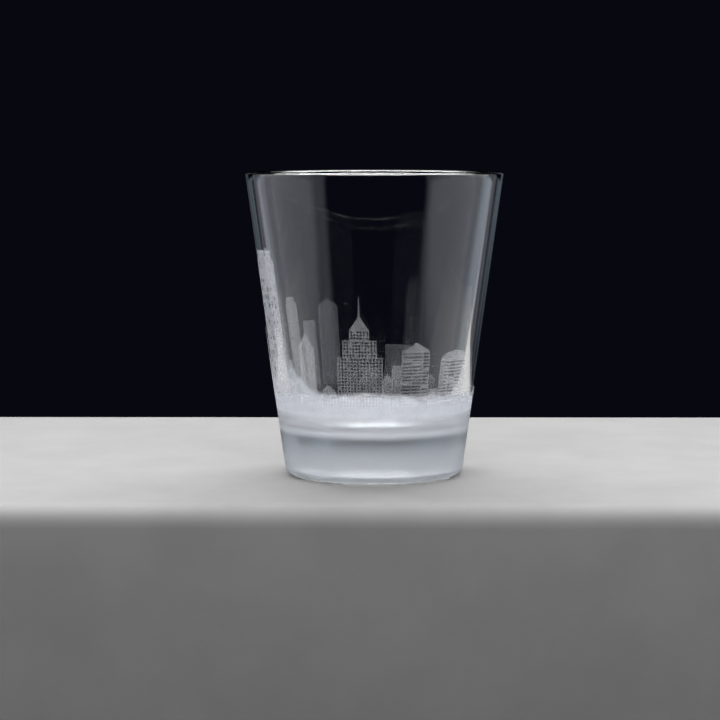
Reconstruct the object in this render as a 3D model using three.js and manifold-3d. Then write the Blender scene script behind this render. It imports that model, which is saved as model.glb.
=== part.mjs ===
// A tapered two-ounce shot glass with a thick foot, decorated with a frosted foot and a skyline of
// invented towers. One pressed glass body carries two thin layers of fired-on frost colour: a plain
// band round the foot, and the skyline that stands on it.
//
// Millimetres, +Z up. The origin is the centre of the foot, on the surface that the glass stands on.
// The decoration's front faces -Y, and azimuths turn from there towards +X.
import * as THREE from "three";
import Module from "manifold-3d";
import { mergeVertices } from "three/addons/utils/BufferGeometryUtils.js";

// Driving dimensions of the glass
const HEIGHT = 60;
const RIM_RADIUS = 25.5; // outside, at the widest point of the melted edge
const RIM_ROUNDING = 0.95; // half the wall's thickness at the rim
const OUTER_LEAN = THREE.MathUtils.degToRad(7.85);
const INNER_LEAN = THREE.MathUtils.degToRad(8.7);
const HEEL_ROUNDING = 2.2;
const FLOOR_HEIGHT = 9.8; // the solid foot's thickness under the drink
const FLOOR_DIP = 0.3; // how far the floor's middle lies below its edge
const FLOOR_FILLET = 2.2;
const DISH_RADIUS = 13; // hollow under the foot, inside the ring it stands on
const DISH_DEPTH = 0.9;

// Driving dimensions of the frost colour
const COLOUR_GAP = 0.04; // kept between the solids where colour touches glass or colour
const COLOUR_THICKNESS = 0.12;
const BAND_BOTTOM = 2.6;
const BAND_TOP = 15;
const SKYLINE_BOTTOM = BAND_TOP + COLOUR_GAP;
const SKYLINE_PLINTH = 16.4; // the towers are one strip below this height
const MAST_WIDTH = 0.4;

const GLASS_FACETS = 72;
const COLOUR_FACETS = 2 * GLASS_FACETS; // a multiple, so that both have corners at the same azimuths
const ARC_PIECES = 5;
const BOWL_PIECES = 4;

// Each building's azimuth and its blocks, every block a width at the wall and the height of its roof
// above the foot. rise is the height of a gable, or of a dome where round is true, on the top block,
// and mast the height of a mast's tip.
const TOWERS = [
  { azimuth: -66, blocks: [[8, 43.2], [6.6, 44.9]] },
  { azimuth: -50, blocks: [[2.6, 20.4]] },
  { azimuth: -38, blocks: [[3.7, 26.6]], rise: 2.8 },
  { azimuth: -25.5, blocks: [[2.6, 18.6]], rise: 1 },
  { azimuth: -7.5, blocks: [[8.8, 25.1], [6.6, 28.4], [3.8, 30.4]], rise: 2.6, mast: 36.8 },
  { azimuth: 7.2, blocks: [[1.9, 20.8]], rise: 1.2 },
  { azimuth: 12.2, blocks: [[1.8, 23.6]] },
  { azimuth: 22.6, blocks: [[5.8, 26.2]], rise: 1.6 },
  { azimuth: 34, blocks: [[2.2, 18.8]] },
  { azimuth: 48.5, blocks: [[7.6, 24.2]], rise: 1.8, round: true },
  { azimuth: 66, blocks: [[3.2, 17.2]] },
  { azimuth: 77, blocks: [[2.6, 16.9]] },
  { azimuth: 88, blocks: [[4.2, 17.4]] },
  { azimuth: 99, blocks: [[2.4, 17]], rise: 0.7 },
  { azimuth: 110, blocks: [[4.4, 17.3]] },
  { azimuth: 125.5, blocks: [[3.4, 21.4]] },
  { azimuth: 139, blocks: [[2.8, 17.2]], rise: 0.8 },
  { azimuth: 151.5, blocks: [[4, 22.4]], rise: 1.2 },
  { azimuth: 164.8, blocks: [[5.8, 23.8]] },
  { azimuth: 183, blocks: [[3, 18.6]], rise: 1.2 },
  { azimuth: 194, blocks: [[2.4, 17.6]] },
  { azimuth: 208.8, blocks: [[5, 31.8]], rise: 1.5 },
  { azimuth: 223.7, blocks: [[3.8, 29]] },
  { azimuth: 240, blocks: [[5, 32.8], [3.6, 34]] },
  { azimuth: 252.5, blocks: [[3, 21.6]] },
  { azimuth: 264, blocks: [[3.8, 25.2]], rise: 1.9, round: true },
  { azimuth: 278, blocks: [[3.2, 20.8], [2, 23.4]], mast: 29.5 },
];

const wasm = await Module();
wasm.setup();

// Points along an arc of a section, its angles in radians from the outward direction.
function arcPoints(centre, radius, start, end, pieces) {
  const { x, y } = centre;
  return new THREE.EllipseCurve(x, y, radius, radius, start, end, end < start).getPoints(pieces);
}

// Points along a shallow bowl, from its edge to the axis, where it is level.
function bowlPoints(edgeRadius, edgeHeight, axisHeight) {
  const edge = new THREE.Vector2(edgeRadius, edgeHeight);
  const shoulder = new THREE.Vector2(edgeRadius / 2, axisHeight);
  const axis = new THREE.Vector2(0, axisHeight);
  return new THREE.QuadraticBezierCurve(edge, shoulder, axis).getPoints(BOWL_PIECES);
}

const rimCentre = new THREE.Vector2(RIM_RADIUS - RIM_ROUNDING, HEIGHT - RIM_ROUNDING);

// The middle of an arc of the section that meets a wall smoothly. The wall leans outwards and runs on
// smoothly into the rim: side is 1 for the outer wall and -1 for the inner one.
function centreOnWall(height, rounding, lean, side) {
  const across = rimCentre.x * Math.cos(lean) - (rimCentre.y - height) * Math.sin(lean);
  const radius = (across + side * RIM_ROUNDING - rounding) / Math.cos(lean);
  return new THREE.Vector2(radius, height);
}

const heelCentre = centreOnWall(HEEL_ROUNDING, HEEL_ROUNDING, OUTER_LEAN, 1);
const filletCentre = centreOnWall(FLOOR_HEIGHT + FLOOR_FILLET, FLOOR_FILLET, INNER_LEAN, -1);

// The body's section: the underside from its middle, the outside, the rim, the inside and the floor.
function glassSection() {
  const quarter = Math.PI / 2;
  return [
    ...bowlPoints(DISH_RADIUS, 0, DISH_DEPTH).reverse(),
    ...arcPoints(heelCentre, HEEL_ROUNDING, -quarter, -OUTER_LEAN, ARC_PIECES),
    ...arcPoints(rimCentre, RIM_ROUNDING, -OUTER_LEAN, 0, 1),
    ...arcPoints(rimCentre, RIM_ROUNDING, 0, quarter, ARC_PIECES).slice(1),
    ...arcPoints(rimCentre, RIM_ROUNDING, quarter, Math.PI - INNER_LEAN, ARC_PIECES).slice(1),
    ...arcPoints(filletCentre, FLOOR_FILLET, -INNER_LEAN, -quarter, ARC_PIECES),
    ...bowlPoints(filletCentre.x, FLOOR_HEIGHT, FLOOR_HEIGHT - FLOOR_DIP).slice(1),
  ];
}

// The outside wall's radius at a height between the heel and the rim.
function wallRadius(height) {
  return centreOnWall(height, 0, OUTER_LEAN, 1).x;
}

// A layer of colour round the outside wall between two heights, as a closed ring.
function colourRing(bottom, top) {
  const inner = COLOUR_GAP;
  const outer = COLOUR_GAP + COLOUR_THICKNESS;
  const corners = [
    [inner, bottom],
    [outer, bottom],
    [outer, top],
    [inner, top],
    [inner, bottom],
  ];
  return turned(
    corners.map(([offset, height]) => new THREE.Vector2(wallRadius(height) + offset, height)),
    COLOUR_FACETS,
  );
}

// A section in radius and height, turned about +Z.
function turned(points, facets) {
  return new THREE.LatheGeometry(points, facets).rotateX(Math.PI / 2);
}

// A closed three.js geometry as a solid that can be joined and cut.
function solidOf(geometry) {
  const bare = geometry.clone().deleteAttribute("normal").deleteAttribute("uv");
  const merged = mergeVertices(bare, 1e-4);
  return new wasm.Manifold(
    new wasm.Mesh({
      numProp: 3,
      vertProperties: merged.attributes.position.array,
      triVerts: new Uint32Array(merged.index.array),
    }),
  );
}

// A solid as a three.js geometry again.
function geometryOf(solid) {
  const { vertProperties, triVerts } = solid.getMesh();
  const geometry = new THREE.BufferGeometry();
  geometry.setAttribute("position", new THREE.BufferAttribute(vertProperties, 3));
  geometry.setIndex(new THREE.BufferAttribute(triVerts, 1));
  geometry.computeVertexNormals();
  return geometry;
}

// A building's outline, its foot in the plinth and the middle of its width at x = 0.
function towerOutline({ blocks, rise = 0, round = false, mast }) {
  const right = [];
  let roof = SKYLINE_BOTTOM - 1;
  for (const [width, nextRoof] of blocks) {
    right.push(new THREE.Vector2(width / 2, roof), new THREE.Vector2(width / 2, nextRoof));
    roof = nextRoof;
  }
  const eaves = right.at(-1).x;
  const top = new THREE.Vector2(0, roof + rise);
  if (round) {
    const dome = new THREE.EllipseCurve(0, roof, eaves, rise, 0, Math.PI / 2);
    right.push(...dome.getPoints(ARC_PIECES).slice(1, -1));
  }
  if (mast) {
    right.push(new THREE.Vector2(MAST_WIDTH / 2, top.y), new THREE.Vector2(MAST_WIDTH / 2, mast));
    top.y = mast;
  }
  const left = right.map(({ x, y }) => new THREE.Vector2(-x, y)).reverse();
  return new THREE.Shape([...right, top, ...left]);
}

// A building as a block that runs outwards through the wall at its azimuth.
function towerBlock(tower) {
  const block = new THREE.ExtrudeGeometry(towerOutline(tower), { depth: HEIGHT, bevelEnabled: false });
  block.rotateX(Math.PI / 2);
  block.rotateZ(THREE.MathUtils.degToRad(tower.azimuth));
  return solidOf(block);
}

// The skyline: what a tall ring of colour has in common with the buildings, joined by its plinth.
function skylineGeometry() {
  const sheet = solidOf(colourRing(SKYLINE_BOTTOM, HEIGHT - 2 * RIM_ROUNDING));
  const plinth = solidOf(colourRing(SKYLINE_BOTTOM, SKYLINE_PLINTH));
  const towers = TOWERS.map((tower) => sheet.intersect(towerBlock(tower)));
  return geometryOf(towers.reduce((joined, tower) => joined.add(tower), plinth));
}

function material(color, roughness, opacity) {
  return new THREE.MeshStandardMaterial({ color, roughness, metalness: 0, transparent: true, opacity });
}

function named(name, geometry, surface) {
  const mesh = new THREE.Mesh(geometry, surface);
  mesh.name = name;
  return mesh;
}

const shotGlass = new THREE.Group();
shotGlass.add(named("glass_body", turned(glassSection(), GLASS_FACETS), material(0xdfeaec, 0.03, 0.35)));
shotGlass.add(named("frost_band", colourRing(BAND_BOTTOM, BAND_TOP), material(0xe6eaf0, 0.7, 0.8)));
shotGlass.add(named("skyline_print", skylineGeometry(), material(0xe6eaf0, 0.8, 0.7)));

export default shotGlass;
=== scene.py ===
import math

import bmesh
import bpy
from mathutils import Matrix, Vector


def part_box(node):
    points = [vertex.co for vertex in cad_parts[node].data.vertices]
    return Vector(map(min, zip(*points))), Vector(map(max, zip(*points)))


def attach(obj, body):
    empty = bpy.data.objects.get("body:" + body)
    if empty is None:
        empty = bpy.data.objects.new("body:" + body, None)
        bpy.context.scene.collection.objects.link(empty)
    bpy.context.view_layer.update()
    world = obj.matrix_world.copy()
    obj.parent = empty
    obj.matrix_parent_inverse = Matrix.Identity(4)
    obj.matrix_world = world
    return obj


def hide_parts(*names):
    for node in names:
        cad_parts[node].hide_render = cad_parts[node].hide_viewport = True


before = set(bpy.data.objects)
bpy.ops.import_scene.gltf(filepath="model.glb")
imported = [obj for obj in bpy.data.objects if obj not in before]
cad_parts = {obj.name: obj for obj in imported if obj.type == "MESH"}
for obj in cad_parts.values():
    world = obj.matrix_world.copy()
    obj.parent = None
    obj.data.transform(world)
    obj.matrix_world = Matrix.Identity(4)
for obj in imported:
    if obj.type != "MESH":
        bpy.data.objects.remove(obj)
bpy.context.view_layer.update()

mm = 0.001
weld = 0.001 * mm  # points nearer than this are one point
scene = bpy.context.scene


class Wire:
    # a number socket that can be written into a sum
    def __init__(self, bench, socket):
        self.bench = bench
        self.socket = socket

    def calc(self, operation, first, second):
        return self.bench.math(operation, first, second)

    def __add__(self, other):
        return self.calc("ADD", self, other)

    def __radd__(self, other):
        return self.calc("ADD", other, self)

    def __sub__(self, other):
        return self.calc("SUBTRACT", self, other)

    def __rsub__(self, other):
        return self.calc("SUBTRACT", other, self)

    def __mul__(self, other):
        return self.calc("MULTIPLY", self, other)

    def __rmul__(self, other):
        return self.calc("MULTIPLY", other, self)

    def __truediv__(self, other):
        return self.calc("DIVIDE", self, other)

    def __rtruediv__(self, other):
        return self.calc("DIVIDE", other, self)


class Bench:
    # a node tree, and the one way that nodes are added to it
    def __init__(self, tree):
        self.tree = tree

    def plug(self, socket, value):
        if isinstance(value, Wire):
            self.tree.links.new(value.socket, socket)
        elif value is not None:
            socket.default_value = value

    def add(self, kind, settings=None, inputs=None, output=0):
        node = self.tree.nodes.new(kind)
        for name, setting in (settings or {}).items():
            setattr(node, name, setting)
        for name, value in (inputs or {}).items():
            self.plug(node.inputs[name], value)
        return Wire(self, node.outputs[output]) if len(node.outputs) else node

    def math(self, operation, first, second=None, third=None):
        values = {0: first, 1: second, 2: third}
        return self.add("ShaderNodeMath", {"operation": operation}, values)

    def ramp(self, value, start, end, low=0.0, high=1.0):
        # a smooth step from low to high
        limits = {"Value": value, "From Min": start, "From Max": end, "To Min": low, "To Max": high}
        return self.add("ShaderNodeMapRange", {"interpolation_type": "SMOOTHSTEP"}, limits)

    def noise(self, vector, scale, detail=2.0, roughness=0.5):
        values = {"Vector": vector, "Scale": scale, "Detail": detail, "Roughness": roughness}
        return self.add("ShaderNodeTexNoise", {"noise_dimensions": "3D"}, values)

    def split(self, vector):
        node = self.add("ShaderNodeSeparateXYZ", None, {"Vector": vector}).socket.node
        return [Wire(self, node.outputs[axis]) for axis in "XYZ"]


# the clear glass: its size is that of the CAD body, and the rest is in metres and radians
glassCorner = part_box("glass_body")[1]
glass = {
    "height": glassCorner.z,
    "rimRadius": glassCorner.x,
    "rimRounding": 0.95 * mm,
    "rimDepth": 0.6 * mm,  # how far down the rim's rounding reaches
    "outerLean": math.radians(7.85),
    "innerLean": math.radians(8.7),
    "heelRounding": 2.2 * mm,
    "floorHeight": 9.8 * mm,
    "floorDip": 0.3 * mm,
    "floorFillet": 2.2 * mm,
    "dishRadius": 13 * mm,
    "dishDepth": 0.9 * mm,
    "rounds": 240,  # facets round the axis
    "bendPieces": 12,  # pieces of each bend and of each shallow bowl
    "outerPieces": 40,  # pieces of the straight walls and of the ring that it stands on
    "innerPieces": 36,
    "ringPieces": 3,
}
rimCentre = (glass["rimRadius"] - glass["rimRounding"], glass["height"] - glass["rimRounding"])


def centreOnWall(height, rounding, lean, side):
    # radius of the middle of an arc that meets a leaning wall: side is 1 outside, -1 inside
    across = rimCentre[0] * math.cos(lean) - (rimCentre[1] - height) * math.sin(lean)
    return (across + side * glass["rimRounding"] - rounding) / math.cos(lean)


def wallRadius(height):
    return centreOnWall(height, 0, glass["outerLean"], 1)


def arcPoints(centre, radius, start, end, pieces):
    points = []
    for i in range(pieces + 1):
        angle = start + (end - start) * i / pieces
        points.append((centre[0] + radius * math.cos(angle), centre[1] + radius * math.sin(angle)))
    return points


def linePoints(start, end, pieces):
    # the points between two ends, without the ends
    shares = [i / pieces for i in range(1, pieces)]
    return [(start[0] + (end[0] - start[0]) * s, start[1] + (end[1] - start[1]) * s) for s in shares]


def bowlPoints(edgeRadius, edgeHeight, axisHeight, pieces):
    # from the edge of a shallow bowl to its middle
    points = []
    for i in range(pieces + 1):
        t = i / pieces
        radius = edgeRadius * (1 - t) ** 2 + edgeRadius * t * (1 - t)
        height = edgeHeight * (1 - t) ** 2 + axisHeight * (1 - (1 - t) ** 2)
        points.append((radius, height))
    return points


def rimPoints(pieces):
    # up the outside, over the rim and down the inside: the wall's half thickness shrinks as an ellipse
    points = []
    for i in range(-pieces, pieces + 1):
        turn = math.pi / 2 * (1 - abs(i) / pieces)
        height = glass["height"] - glass["rimDepth"] * (1 - math.sin(turn))
        outside = min(wallRadius(height), glass["rimRadius"])
        inside = centreOnWall(height, 0, glass["innerLean"], -1)
        side = -1 if i > 0 else 1
        points.append(((outside + inside) / 2 + side * (outside - inside) / 2 * math.cos(turn), height))
    return points


def glassSection():
    quarter = math.pi / 2
    heelHeight = glass["heelRounding"]
    heel = (centreOnWall(heelHeight, heelHeight, glass["outerLean"], 1), heelHeight)
    filletHeight = glass["floorHeight"] + glass["floorFillet"]
    fillet = (centreOnWall(filletHeight, glass["floorFillet"], glass["innerLean"], -1), filletHeight)
    bend = glass["bendPieces"]
    foot = bowlPoints(glass["dishRadius"], 0.0, glass["dishDepth"], bend)[::-1]
    heelArc = arcPoints(heel, heelHeight, -quarter, -glass["outerLean"], bend)
    rim = rimPoints(bend)
    filletArc = arcPoints(fillet, glass["floorFillet"], -glass["innerLean"], -quarter, bend)
    floor = bowlPoints(fillet[0], glass["floorHeight"], glass["floorHeight"] - glass["floorDip"], bend)
    outside = linePoints(heelArc[-1], rim[0], glass["outerPieces"])
    inside = linePoints(rim[-1], filletArc[0], glass["innerPieces"])
    ring = linePoints(foot[-1], heelArc[0], glass["ringPieces"])
    return foot + ring + heelArc + outside + rim + inside + filletArc + floor[1:]


def newTree(name, inputs):
    # an empty geometry tree, its bench and the wires of its inputs
    tree = bpy.data.node_groups.new(name, "GeometryNodeTree")
    for label, kind in {"Geometry": "Geometry", **inputs, "Material": "Material"}.items():
        tree.interface.new_socket(name=label, in_out="INPUT", socket_type="NodeSocket" + kind)
    tree.interface.new_socket(name="Geometry", in_out="OUTPUT", socket_type="NodeSocketGeometry")
    bench = Bench(tree)
    entry = bench.add("NodeGroupInput").socket.node
    return tree, bench, {socket.name: Wire(bench, socket) for socket in entry.outputs if socket.name}


def endTree(bench, geometry, material):
    real = bench.add("GeometryNodeRealizeInstances", None, {"Geometry": geometry})
    painted = bench.add("GeometryNodeSetMaterial", None, {"Geometry": real, "Material": material})
    bench.add("NodeGroupOutput", None, {"Geometry": painted})


def gridOf(bench, columns, rows):
    # a grid with that many vertices each way, and each vertex's column and row
    sizes = {"Vertices X": columns, "Vertices Y": rows}
    grid = bench.add("GeometryNodeMeshGrid", None, sizes)
    index = bench.add("GeometryNodeInputIndex")
    column = bench.math("FLOOR", (index + 0.5) / rows)
    return grid, column, index - column * rows


def makeTurnedTree():
    # turns the points of a section about the glass's axis
    tree, bench, given = newTree("turnedSection", {"Rounds": "Int"})
    size = bench.add("GeometryNodeAttributeDomainSize", None, {"Geometry": given["Geometry"]})
    grid, column, row = gridOf(bench, given["Rounds"] + 1, size)
    sample = bench.add(
        "GeometryNodeSampleIndex",
        {"data_type": "FLOAT_VECTOR"},
        {"Geometry": given["Geometry"], "Value": bench.add("GeometryNodeInputPosition"), "Index": row},
    )
    angle = column * math.tau / given["Rounds"]
    turned = bench.add(
        "ShaderNodeVectorRotate", {"rotation_type": "Z_AXIS"}, {"Vector": sample, "Angle": angle}
    )
    placed = bench.add("GeometryNodeSetPosition", None, {"Geometry": grid, "Position": turned})
    welded = bench.add("GeometryNodeMergeByDistance", None, {"Geometry": placed, "Distance": weld})
    smooth = bench.add("GeometryNodeSetShadeSmooth", None, {"Geometry": welded, "Shade Smooth": True})
    endTree(bench, smooth, given["Material"])
    return tree


# more storeys than any block has, so that each window draws its own number
mostStoreys = 1000


def makeBlockTree():
    # one block of a tower: a panel of piers and floor slabs with open windows, wrapped on the wall
    inputs = {
        "Azimuth": "Float",
        "Width": "Float",
        "Bottom": "Float",
        "Top": "Float",
        "Taper": "Float",
        "Dome": "Float",
        "Bays": "Int",
        "Floors": "Int",
        "Pier": "Float",
        "Slab": "Float",
        "Pier Every": "Int",
        "Blind": "Float",
        "Wall Radius": "Float",
        "Wall Slope": "Float",
        "Thickness": "Float",
        "Seed": "Int",
    }
    tree, bench, given = newTree("towerBlock", inputs)
    columns = 2 * given["Bays"] + 2
    rows = 2 * given["Floors"] + 2
    grid, column, row = gridOf(bench, columns, rows)

    def lineShare(line, count, solid):
        # solid and open cells take turns, so lines stand at 0, solid, 1, 1 + solid, 2 and so on
        pair = bench.math("FLOOR", line / 2)
        return (pair + (line - 2 * pair) * solid) / (count + solid)

    across = lineShare(column, given["Bays"], given["Pier"])
    up = lineShare(row, given["Floors"], given["Slab"])
    gable = 1 - given["Taper"] * up
    dome = bench.math("SQRT", 1 - given["Dome"] * up * up)
    height = given["Bottom"] + (given["Top"] - given["Bottom"]) * up
    radius = given["Wall Radius"] + given["Wall Slope"] * height
    angle = given["Azimuth"] + (across - 0.5) * given["Width"] * gable * dome / radius
    spot = bench.add(
        "ShaderNodeCombineXYZ",
        None,
        {
            "X": radius * bench.math("SINE", angle),
            "Y": -1 * radius * bench.math("COSINE", angle),
            "Z": height,
        },
    )
    wrapped = bench.add("GeometryNodeSetPosition", None, {"Geometry": grid, "Position": spot})

    index = bench.add("GeometryNodeInputIndex")
    bay = bench.math("FLOOR", (index + 0.5) / (rows - 1))
    storey = index - bay * (rows - 1)
    betweenPiers = bench.math("COMPARE", bench.math("MODULO", bay, given["Pier Every"]), 0, 0.1)
    betweenPiers = (1 - betweenPiers) * bench.math("LESS_THAN", bay, columns - 2)
    betweenSlabs = bench.math("MODULO", storey, 2)
    group = bench.math("FLOOR", bay / given["Pier Every"])
    luck = bench.add(
        "FunctionNodeRandomValue",
        {"data_type": "FLOAT"},
        {"ID": group * mostStoreys + storey, "Seed": given["Seed"]},
        "Value",
    )
    lit = bench.math("GREATER_THAN", luck, given["Blind"])
    opening = bench.math("GREATER_THAN", betweenPiers * betweenSlabs * lit, 0.5)
    panel = bench.add(
        "GeometryNodeDeleteGeometry", {"domain": "FACE"}, {"Geometry": wrapped, "Selection": opening}
    )
    extrusion = {"Mesh": panel, "Offset Scale": given["Thickness"], "Individual": False}
    front = bench.add("GeometryNodeExtrudeMesh", None, extrusion)
    back = bench.add("GeometryNodeFlipFaces", None, {"Mesh": panel})
    both = bench.add("GeometryNodeJoinGeometry")
    for part in (back, front):
        bench.tree.links.new(part.socket, both.socket.node.inputs["Geometry"])
    welded = bench.add("GeometryNodeMergeByDistance", None, {"Geometry": both, "Distance": weld})
    endTree(bench, welded, given["Material"])
    return tree


def grown(name, mesh, tree, values):
    # the plain mesh that a tree makes of a starting mesh
    seed = bpy.data.objects.new(name + "Seed", mesh)
    scene.collection.objects.link(seed)
    modifier = seed.modifiers.new(tree.name, "NODES")
    modifier.node_group = tree
    for item in tree.interface.items_tree:
        if item.in_out == "INPUT" and item.name in values:
            modifier[item.identifier] = values[item.name]
    seed.update_tag()
    graph = bpy.context.evaluated_depsgraph_get()
    made = bpy.data.meshes.new_from_object(seed.evaluated_get(graph), depsgraph=graph)
    made.name = name
    bpy.data.objects.remove(seed)
    # the tree leaves an empty slot before its material: this puts every face in one slot
    made.materials.clear()
    made.materials.append(values["Material"])
    return made


def sectionMesh(points):
    mesh = bpy.data.meshes.new("section")
    mesh.from_pydata([(radius, 0.0, height) for radius, height in points], [], [])
    return mesh


def addPiece(name, mesh, node):
    piece = bpy.data.objects.new(name, mesh)
    scene.collection.objects.link(piece)
    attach(piece, "root")
    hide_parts(node)
    print(name, len(mesh.polygons), "faces")


def newMaterial(name):
    material = bpy.data.materials.new(name)
    material.use_nodes = True
    material.node_tree.nodes.clear()
    return material, Bench(material.node_tree)


def placeOf(bench):
    # where a point lies, in millimetres
    coordinates = bench.add("ShaderNodeTexCoord", None, None, "Object")
    return bench.add("ShaderNodeVectorMath", {"operation": "SCALE"}, {0: coordinates, "Scale": 1 / mm})


def wallPlace(bench):
    # the same place, with its azimuth from the front and its height
    place = placeOf(bench)
    x, y, z = bench.split(place)
    return place, bench.math("ARCTAN2", x, -1 * y), z


# clear pressed glass: crisp, with the faintest waves from the mould and a few smudges
clearGlass = {
    "tint": (0.975, 0.99, 0.992, 1.0),
    "index": 1.52,
    "polish": 0.004,
    "smudge": 0.03,  # how much rougher the smudges are
    "smudgeNoise": (0.11, 5.0, 0.62),  # every noise has a scale, mostly with a detail and a roughness
    "smudgeLimits": (0.55, 0.75),  # where in the noise they begin and are full
    "waveHeight": 0.0015,  # mm
    "waveNoise": (0.16, 1.0),
    "waveStretch": (1.0, 1.0, 0.25),
}


def makeClearGlass():
    material, bench = newMaterial("clearGlass")
    place = placeOf(bench)
    stretch = {"Vector": place, "Scale": clearGlass["waveStretch"]}
    stretched = bench.add("ShaderNodeMapping", {"vector_type": "POINT"}, stretch)
    waves = bench.noise(stretched, *clearGlass["waveNoise"])
    smudges = bench.ramp(bench.noise(place, *clearGlass["smudgeNoise"]), *clearGlass["smudgeLimits"])
    relief = {"Strength": 1.0, "Distance": clearGlass["waveHeight"] * mm, "Height": waves}
    bump = bench.add("ShaderNodeBump", None, relief)
    values = {
        "Base Color": clearGlass["tint"],
        "Roughness": clearGlass["polish"] + smudges * clearGlass["smudge"],
        "IOR": clearGlass["index"],
        "Transmission Weight": 1.0,
        "Normal": bump,
    }
    shader = bench.add("ShaderNodeBsdfPrincipled", None, values)
    bench.add("ShaderNodeOutputMaterial", None, {"Surface": shader})
    return material


# white frost colour, fired on as fine dots: it hides what its dots cover and glows where light gets in
frost = {
    "colour": (0.92, 0.94, 0.98, 1.0),
    "glow": (0.92, 0.94, 0.98, 1.0),
    "roughness": 0.62,
    "glowShare": 0.45,
    "hazeTint": (0.965, 0.985, 1.0, 1.0),  # of the light that comes through hazy
    "hazeRoughness": 0.42,
    "hazeIndex": 1.14,
}


def addFrost(bench, cover, haze=None):
    # a layer that covers that share of what is under it, and blurs a share of the rest
    matt = {"Base Color": frost["colour"], "Roughness": frost["roughness"]}
    chalk = bench.add("ShaderNodeBsdfPrincipled", None, matt)
    glow = bench.add("ShaderNodeBsdfTranslucent", None, {"Color": frost["glow"]})
    body = bench.add("ShaderNodeMixShader", None, {0: frost["glowShare"], 1: chalk, 2: glow})
    clear = bench.add("ShaderNodeBsdfTransparent")
    if haze is not None:
        soft = {"Color": frost["hazeTint"], "Roughness": frost["hazeRoughness"], "IOR": frost["hazeIndex"]}
        blur = bench.add("ShaderNodeBsdfRefraction", None, soft)
        clear = bench.add("ShaderNodeMixShader", None, {0: haze, 1: clear, 2: blur})
    layer = bench.add("ShaderNodeMixShader", None, {0: cover, 1: clear, 2: body})
    bench.add("ShaderNodeOutputMaterial", None, {"Surface": layer})


# the frost round the foot, in millimetres and degrees
band = {
    "bottom": 0.2,  # it fades in on the heel, from here
    "fullFrom": 0.9,  # to here
    "top": 21.5,  # where the sleeve itself ends
    "gap": 0.05,
    "thickness": 0.03,
    # height and the share of the glass that the dots cover there: heel, foot, floor and fog; the shares also
    # paint the foot's light, thinning from the heel up to a painted dark band at 8.7 mm, then a painted
    # bright ring at 9.9 mm for the highlight at the floor's edge
    "coversWithPaintedLight": [(3.2, 0.43), (8.7, 0.06), (9.9, 0.6), (10.9, 0.34), (12.5, 0.32), (13.7, 0.9)],
    "edge": 15.0,  # mean height of the fog's edge
    "edgeTilt": 2.0,  # how much higher it is in front
    "billow": 5.6,  # the high bank of fog, where it lies, and how narrow it is
    "billowAzimuth": -104,
    "billowPower": 12,
    "drift": 2.6,  # how far the edge wanders up and down
    "driftNoise": (0.2, 3.0, 0.6),
    "softness": 1.1,
    "grain": 0.6,
    "grainNoise": (5.0, 1.0),
    "clouds": 0.4,
    "cloudNoise": (0.35, 3.0),
    "haze": 0.85,  # share of the clear part that is hazy in the foot, how high, and over what height it fades
    "hazeTop": 13.6,
    "hazeFade": 2,
    "bendPieces": 8,
    "wallPieces": 24,
}


def makeBandFrost():
    material, bench = newMaterial("bandFrost")
    place, azimuth, height = wallPlace(bench)
    drift = bench.noise(place, *band["driftNoise"]) - 0.5
    bank = bench.math("COSINE", azimuth - math.radians(band["billowAzimuth"]))
    bank = bench.math("POWER", bench.math("MAXIMUM", bank, 0), band["billowPower"]) * band["billow"]
    edge = band["edge"] + bench.math("COSINE", azimuth) * band["edgeTilt"] + bank + drift * band["drift"]
    fog = 1 - bench.ramp(height - edge, -band["softness"], band["softness"])
    heel = bench.ramp(height, band["bottom"], band["fullFrom"])
    # the cover by height, which besides the frost paints a dark band at 8.7 mm and a bright ring at 9.9 mm on
    # the foot
    coverAndPaintedLight = band["coversWithPaintedLight"][0][1]
    for (low, _), (high, share) in zip(band["coversWithPaintedLight"], band["coversWithPaintedLight"][1:]):
        coverAndPaintedLight = bench.ramp(height, low, high, coverAndPaintedLight, share)
    grain = bench.noise(place, *band["grainNoise"]) - 0.5
    clouds = bench.noise(place, *band["cloudNoise"]) - 0.5
    cover = fog * heel * coverAndPaintedLight * (1 + grain * band["grain"] + clouds * band["clouds"])
    hazeTop = band["hazeTop"]
    haze = bench.ramp(height, hazeTop - band["hazeFade"], hazeTop, band["haze"], 0.0) * heel
    addFrost(bench, bench.add("ShaderNodeClamp", None, {"Value": cover}), haze)
    return material


def bandSection():
    # a thin sleeve over the straight wall and round the heel
    rounding = glass["heelRounding"]
    heel = (centreOnWall(rounding, rounding, glass["outerLean"], 1), rounding)
    lowTurn = math.asin(band["bottom"] * mm / rounding - 1)
    high = band["top"] * mm
    sides = []
    for offset in (band["gap"] * mm, (band["gap"] + band["thickness"]) * mm):
        bend = arcPoints(heel, rounding + offset, lowTurn, -glass["outerLean"], band["bendPieces"])
        top = (wallRadius(high) + offset, high)
        sides.append(bend + linePoints(bend[-1], top, band["wallPieces"]) + [top])
    return sides[1] + sides[0][::-1] + [sides[1][0]]


# ways to set out windows: the pitch of bays and floors in millimetres, the solid share of each, how
# many cells lie from one pier to the next, and the share of windows that stay blind
windows = {
    "fine": {"bay": 0.62, "floor": 0.64, "Pier": 0.4, "Slab": 0.36, "Pier Every": 2, "Blind": 0.14},
    "floors": {"bay": 0.7, "floor": 0.66, "Pier": 0.3, "Slab": 0.5, "Pier Every": 6, "Blind": 0.1},
    "speckle": {"bay": 0.5, "floor": 0.5, "Pier": 0.55, "Slab": 0.55, "Pier Every": 2, "Blind": 0.45},
    "squares": {"bay": 1.5, "floor": 1.6, "Pier": 0.55, "Slab": 0.5, "Pier Every": 2, "Blind": 0.55},
    "close": {"bay": 0.5, "floor": 0.55, "Pier": 0.66, "Slab": 0.62, "Pier Every": 2, "Blind": 0.3},
}

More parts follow.
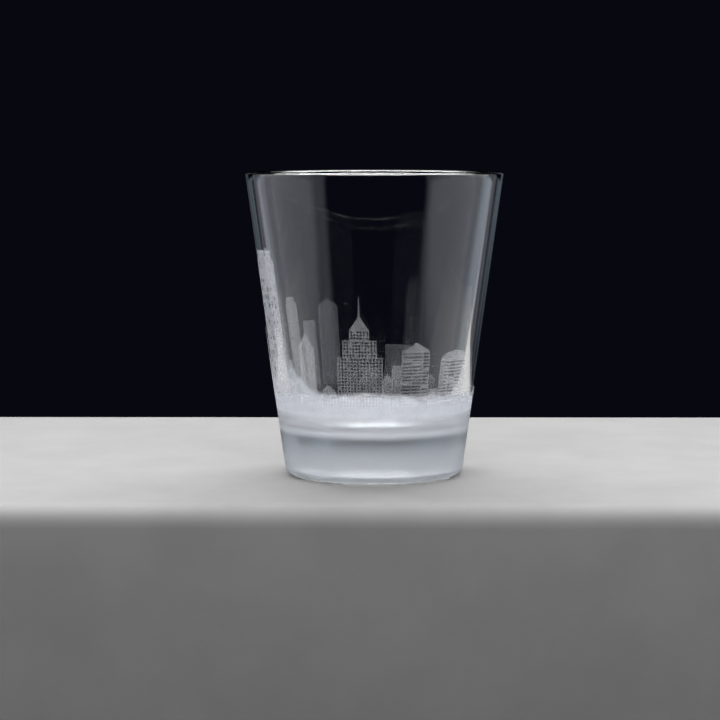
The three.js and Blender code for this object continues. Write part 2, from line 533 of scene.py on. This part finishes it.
# every building: azimuth in degrees, blocks of width and roof height, the rise of a gable or dome on
# the top block, the height of a mast's tip, and its windows
skyline = {
    "foot": 12.6,
    "gap": 0.1,
    "thickness": 0.04,
    "mastWidth": 0.34,
    "mastRoot": 0.1,  # how far a mast reaches down into its tower
    "mastTaper": 0.6,
    "gableTaper": 0.96,  # nearly to a point
    "domeCurve": 0.998,  # nearly a half circle
    "towers": [
        {"azimuth": -66, "blocks": [(8, 43.2), (6.6, 44.9)], "windows": "squares"},
        {"azimuth": -50, "blocks": [(2.6, 20.4)], "windows": "speckle"},
        {"azimuth": -38, "blocks": [(3.7, 26.6)], "gable": 2.8, "windows": "speckle"},
        {"azimuth": -25.5, "blocks": [(2.6, 18.6)], "gable": 1, "windows": "fine"},
        {
            "azimuth": -7.5,
            "blocks": [(8.8, 25.1), (6.6, 28.4), (3.8, 30.4)],
            "gable": 2.6,
            "mast": 36.8,
            "windows": "fine",
        },
        {"azimuth": 7.2, "blocks": [(1.9, 20.8)], "gable": 1.2, "windows": "speckle"},
        {"azimuth": 12.2, "blocks": [(1.8, 23.6)], "windows": "speckle"},
        {"azimuth": 22.6, "blocks": [(5.8, 26.2)], "gable": 1.6, "windows": "floors"},
        {"azimuth": 34, "blocks": [(2.2, 18.8)], "windows": "fine"},
        {"azimuth": 48.5, "blocks": [(7.6, 24.2)], "dome": 1.8, "windows": "floors"},
        {"azimuth": 66, "blocks": [(3.2, 17.2)], "windows": "speckle"},
        {"azimuth": 77, "blocks": [(2.6, 16.9)], "windows": "fine"},
        {"azimuth": 88, "blocks": [(4.2, 17.4)], "windows": "floors"},
        {"azimuth": 99, "blocks": [(2.4, 17)], "gable": 0.7, "windows": "speckle"},
        {"azimuth": 110, "blocks": [(4.4, 17.3)], "windows": "fine"},
        {"azimuth": 125.5, "blocks": [(3.4, 21.4)], "windows": "floors"},
        {"azimuth": 139, "blocks": [(2.8, 17.2)], "gable": 0.8, "windows": "fine"},
        {"azimuth": 151.5, "blocks": [(4, 22.4)], "gable": 1.2, "windows": "speckle"},
        {"azimuth": 164.8, "blocks": [(5.8, 23.8)], "windows": "close"},
        {"azimuth": 183, "blocks": [(3, 18.6)], "gable": 1.2, "windows": "speckle"},
        {"azimuth": 194, "blocks": [(2.4, 17.6)], "windows": "fine"},
        {"azimuth": 208.8, "blocks": [(5, 31.8)], "gable": 1.5, "windows": "close"},
        {"azimuth": 223.7, "blocks": [(3.8, 29)], "windows": "close"},
        {"azimuth": 240, "blocks": [(5, 32.8), (3.6, 34)], "windows": "close"},
        {"azimuth": 252.5, "blocks": [(3, 21.6)], "windows": "speckle"},
        {"azimuth": 264, "blocks": [(3.8, 25.2)], "dome": 1.9, "windows": "fine"},
        {"azimuth": 278, "blocks": [(3.2, 20.8), (2, 23.4)], "mast": 29.5, "windows": "fine"},
    ],
}

# the frost of the skyline
printFrost = {
    "cover": 0.11,  # share that the dots of one tower cover in front, at the sides and at the back; thicker at the sides as painted light from the side lamps, thinner at the back as painted shade
    "sideCoverPaintedLight": 0.26,
    "backCoverPaintedShade": 0.045,
    "frontTurn": (0.55, 1.0),  # cosines of azimuth between which each of those gives way to the next
    "backTurn": (-0.95, -0.2),
    "grain": 3.0,  # how uneven the dots are in front and at the back
    "backGrain": 0.4,
    "grainTurn": (-0.5, 0.2),
    "dotNoise": (5.0, 1.0),
    "patches": 0.5,
    "patchNoise": (0.5, 2.0),
    "sink": (14.6, 17.0),  # heights between which the towers come up out of the fog
}


def makePrintFrost():
    material, bench = newMaterial("printFrost")
    place, azimuth, height = wallPlace(bench)
    dots = bench.noise(place, *printFrost["dotNoise"]) - 0.5
    patches = bench.noise(place, *printFrost["patchNoise"]) - 0.5
    # the cover by azimuth paints light and shade on the towers: thicker at the sides as painted light from
    # the side lamps, thinner at the back as painted shade
    facing = bench.math("COSINE", azimuth)
    front = bench.ramp(facing, *printFrost["frontTurn"], printFrost["sideCoverPaintedLight"], printFrost["cover"])
    rearPaintedShade = bench.ramp(facing, *printFrost["backTurn"], printFrost["backCoverPaintedShade"], printFrost["sideCoverPaintedLight"])
    grain = bench.ramp(facing, *printFrost["grainTurn"], printFrost["backGrain"], printFrost["grain"])
    sink = bench.ramp(height, *printFrost["sink"])
    cover = sink * bench.math("MINIMUM", front, rearPaintedShade) * (1 + dots * grain + patches * printFrost["patches"])
    addFrost(bench, bench.add("ShaderNodeClamp", None, {"Value": cover}))
    return material


def blockValues(tower, width, bottom, top, seed, style):
    # the block tree's inputs, in metres and radians
    size = windows[style]
    return {
        "Azimuth": math.radians(tower["azimuth"]),
        "Width": width * mm,
        "Bottom": bottom * mm,
        "Top": top * mm,
        "Taper": 0.0,
        "Dome": 0.0,
        "Bays": max(1, round(width / size["bay"])),
        "Floors": max(1, round((top - bottom) / size["floor"])),
        "Pier": size["Pier"],
        "Slab": size["Slab"],
        "Pier Every": size["Pier Every"],
        "Blind": size["Blind"],
        "Wall Radius": wallRadius(0) + skyline["gap"] * mm,
        "Wall Slope": math.tan(glass["outerLean"]),
        "Thickness": skyline["thickness"] * mm,
        "Seed": seed,
    }


def towerBlocks(tower, seed):
    # every block of one building from its foot up, as inputs of the block tree
    blocks = []
    bottom = skyline["foot"]
    for width, roof in tower["blocks"]:
        blocks.append(blockValues(tower, width, bottom, roof, seed + len(blocks), tower["windows"]))
        bottom = roof
    rise = tower.get("gable", 0) or tower.get("dome", 0)
    if rise:
        top = blockValues(tower, width, bottom, bottom + rise, seed + len(blocks), tower["windows"])
        top["Taper"] = skyline["gableTaper"] if "gable" in tower else 0.0
        top["Dome"] = skyline["domeCurve"] if "dome" in tower else 0.0
        top["Blind"] = 1.0
        blocks.append(top)
        bottom += rise
    if "mast" in tower:
        root = bottom - skyline["mastRoot"]
        mast = blockValues(tower, skyline["mastWidth"], root, tower["mast"], seed, "fine")
        blocks.append({**mast, "Blind": 1.0, "Bays": 1, "Taper": skyline["mastTaper"]})
    return blocks


def makeSkyline(material):
    tree = makeBlockTree()
    sheet = bmesh.new()
    for number, tower in enumerate(skyline["towers"]):
        for values in towerBlocks(tower, 10 * number):
            part = grown("block", bpy.data.meshes.new("blank"), tree, {**values, "Material": material})
            sheet.from_mesh(part)
            bpy.data.meshes.remove(part)
    mesh = bpy.data.meshes.new("skylinePrint")
    sheet.to_mesh(mesh)
    sheet.free()
    mesh.materials.append(material)
    return mesh


# a pale slab with a dark room behind it, and soft lamps, in metres and degrees
stage = {
    "slabWidth": 320 * mm,
    "slabFront": -42 * mm,  # where its edges lie before and behind the glass's axis
    "slabBack": 95 * mm,
    "slabDepth": 90 * mm,
    "slabEdge": 4 * mm,
    "slabBevels": 6,
    "slabColour": (0.185, 0.185, 0.182),
    "slabMottle": (60.0, 6.0, 0.6),
    "slabLimits": (0.3, 0.7),  # of the mottle, and how dark and how light it makes the slab
    "slabTones": (0.94, 1.04),
    "slabRoughness": 0.8,
    "room": (0.0024, 0.0024, 0.0052, 1.0),
}
lamps = {
    "leftLamp": {
        "azimuth": 95,  # from the camera's side, round to the left
        "distance": 0.34,
        "height": 0.12,
        "size": (0.58, 0.5),
        "radiance": 0.42,
        "colour": (0.97, 0.96, 1.08),
        "fade": 0.1,
        "aim": 0.12,  # height that it is turned to
    },
    "leftEdgeLamp": {
        "azimuth": 153,
        "distance": 0.5,
        "height": 0.1,
        "size": (0.14, 0.5),
        "radiance": 0.12,
        "colour": (0.78, 0.96, 1.06),
        "fade": 0.2,
        "aim": 0.1,
    },
    "rightLamp": {
        "azimuth": -94.4,
        "distance": 0.34,
        "height": 0.12,
        "size": (0.661, 0.5),
        "radiance": 0.42,
        "colour": (0.93, 0.97, 1.08),
        "fade": 0.1,
        "aim": 0.12,
    },
    "rightEdgeLamp": {
        "azimuth": -157,
        "distance": 0.5,
        "height": 0.1,
        "size": (0.18, 0.5),
        "radiance": 0.24,
        "colour": (0.8, 0.97, 1.15),
        "fade": 0.5,
        "aim": 0.1,
    },
    "backLamp": {
        "azimuth": 180,
        "distance": 0.24,
        "height": 0.56,
        "size": (0.9, 0.32),
        "radiance": 13.0,
        "colour": (1.0, 0.99, 1.0),
        "fade": 0.08,
        "aim": 0.0,
    },
    "frontLamp": {
        "azimuth": 0,
        "distance": 0.42,
        "height": 0.6,
        "size": (0.9, 0.6),
        "radiance": 6.2,
        "colour": (1.0, 0.99, 1.0),
        "fade": 0.1,
        "aim": 0.0,
    },
}


def makeSlab():
    mesh = bpy.data.meshes.new("paleSlab")
    block = bmesh.new()
    bmesh.ops.create_cube(block, size=1)
    middle = (stage["slabFront"] + stage["slabBack"]) / 2
    size = (stage["slabWidth"], stage["slabBack"] - stage["slabFront"], stage["slabDepth"])
    for vertex in block.verts:
        vertex.co = [side * length for side, length in zip(vertex.co, size)]
        vertex.co += Vector((0, middle, -stage["slabDepth"] / 2))
    bmesh.ops.bevel(
        block,
        geom=block.edges[:],
        offset=stage["slabEdge"],
        segments=stage["slabBevels"],
        profile=0.5,
        affect="EDGES",
        clamp_overlap=True,
    )
    for face in block.faces:
        face.smooth = True
    block.to_mesh(mesh)
    block.free()
    material, bench = newMaterial("paleStone")
    coordinates = bench.add("ShaderNodeTexCoord", None, None, "Object")
    mottle = bench.noise(coordinates, *stage["slabMottle"])
    tone = bench.ramp(mottle, *stage["slabLimits"], *stage["slabTones"])
    scaling = {0: stage["slabColour"], "Scale": tone}
    colour = bench.add("ShaderNodeVectorMath", {"operation": "SCALE"}, scaling)
    matt = {"Base Color": colour, "Roughness": stage["slabRoughness"]}
    shader = bench.add("ShaderNodeBsdfPrincipled", None, matt)
    bench.add("ShaderNodeOutputMaterial", None, {"Surface": shader})
    mesh.materials.append(material)
    slab = bpy.data.objects.new("paleSlab", mesh)
    scene.collection.objects.link(slab)


def addLamp(name, lamp):
    # a soft box that fades towards its edges and faces the glass
    turn = math.radians(lamp["azimuth"])
    away = -lamp["distance"]
    spot = Vector((away * math.sin(turn), away * math.cos(turn), lamp["height"]))
    width, tall = lamp["size"]
    data = bpy.data.lights.new(name, "AREA")
    data.shape = "RECTANGLE"
    data.size = width
    data.size_y = tall
    data.energy = lamp["radiance"] * math.pi * width * tall
    data.color = lamp["colour"]
    data.use_nodes = True
    data.node_tree.nodes.clear()
    bench = Bench(data.node_tree)
    glow = 1
    for side in bench.split(bench.add("ShaderNodeNewGeometry", None, None, "Parametric"))[:2]:
        glow = glow * bench.ramp(bench.math("MINIMUM", side, 1 - side), 0, lamp["fade"])
    light = bench.add("ShaderNodeEmission", None, {"Strength": glow})
    bench.add("ShaderNodeOutputLight", None, {"Surface": light})
    lampObject = bpy.data.objects.new(name, data)
    lampObject.location = spot
    facing = Vector((0, 0, lamp["aim"])) - spot
    lampObject.rotation_euler = facing.to_track_quat("-Z", "Y").to_euler()
    scene.collection.objects.link(lampObject)


def makeLight():
    world = bpy.data.worlds.new("darkRoom")
    world.use_nodes = True
    world.node_tree.nodes["Background"].inputs["Color"].default_value = stage["room"]
    scene.world = world
    for name, lamp in lamps.items():
        addLamp(name, lamp)
    scene.view_settings.view_transform = "Standard"
    # light goes back and forth between the walls many times
    scene.cycles.max_bounces = 32
    scene.cycles.transmission_bounces = 24
    scene.cycles.glossy_bounces = 16
    scene.cycles.diffuse_bounces = 6
    scene.cycles.transparent_max_bounces = 32


camera = {
    "distance": 0.44,  # in front of the glass's axis
    "height": 65.4 * mm,
    "pitch": math.radians(5.545),
    "yaw": math.radians(0.36),
    "lens": 111.35,  # in millimetres, as the sensor is
    "sensor": 36,
    "nearest": 0.01,  # metres
}


def makeCamera():
    data = bpy.data.cameras.new("camera")
    data.sensor_width = camera["sensor"]
    data.lens = camera["lens"]
    data.clip_start = camera["nearest"]
    view = bpy.data.objects.new("camera", data)
    view.location = (0, -camera["distance"], camera["height"])
    view.rotation_euler = (math.pi / 2 - camera["pitch"], 0, camera["yaw"])
    scene.collection.objects.link(view)
    scene.camera = view


def addTurned(name, points, material, node):
    # a piece that is turned from a section
    values = {"Rounds": glass["rounds"], "Material": material}
    addPiece(name, grown(name, sectionMesh(points), turnedTree, values), node)


turnedTree = makeTurnedTree()
addTurned("tumbler", glassSection(), makeClearGlass(), "glass_body")
addTurned("frostBand", bandSection(), makeBandFrost(), "frost_band")
addPiece("skylinePrint", makeSkyline(makePrintFrost()), "skyline_print")
print("pieces made")

makeSlab()
makeLight()
makeCamera()
print("stage set")
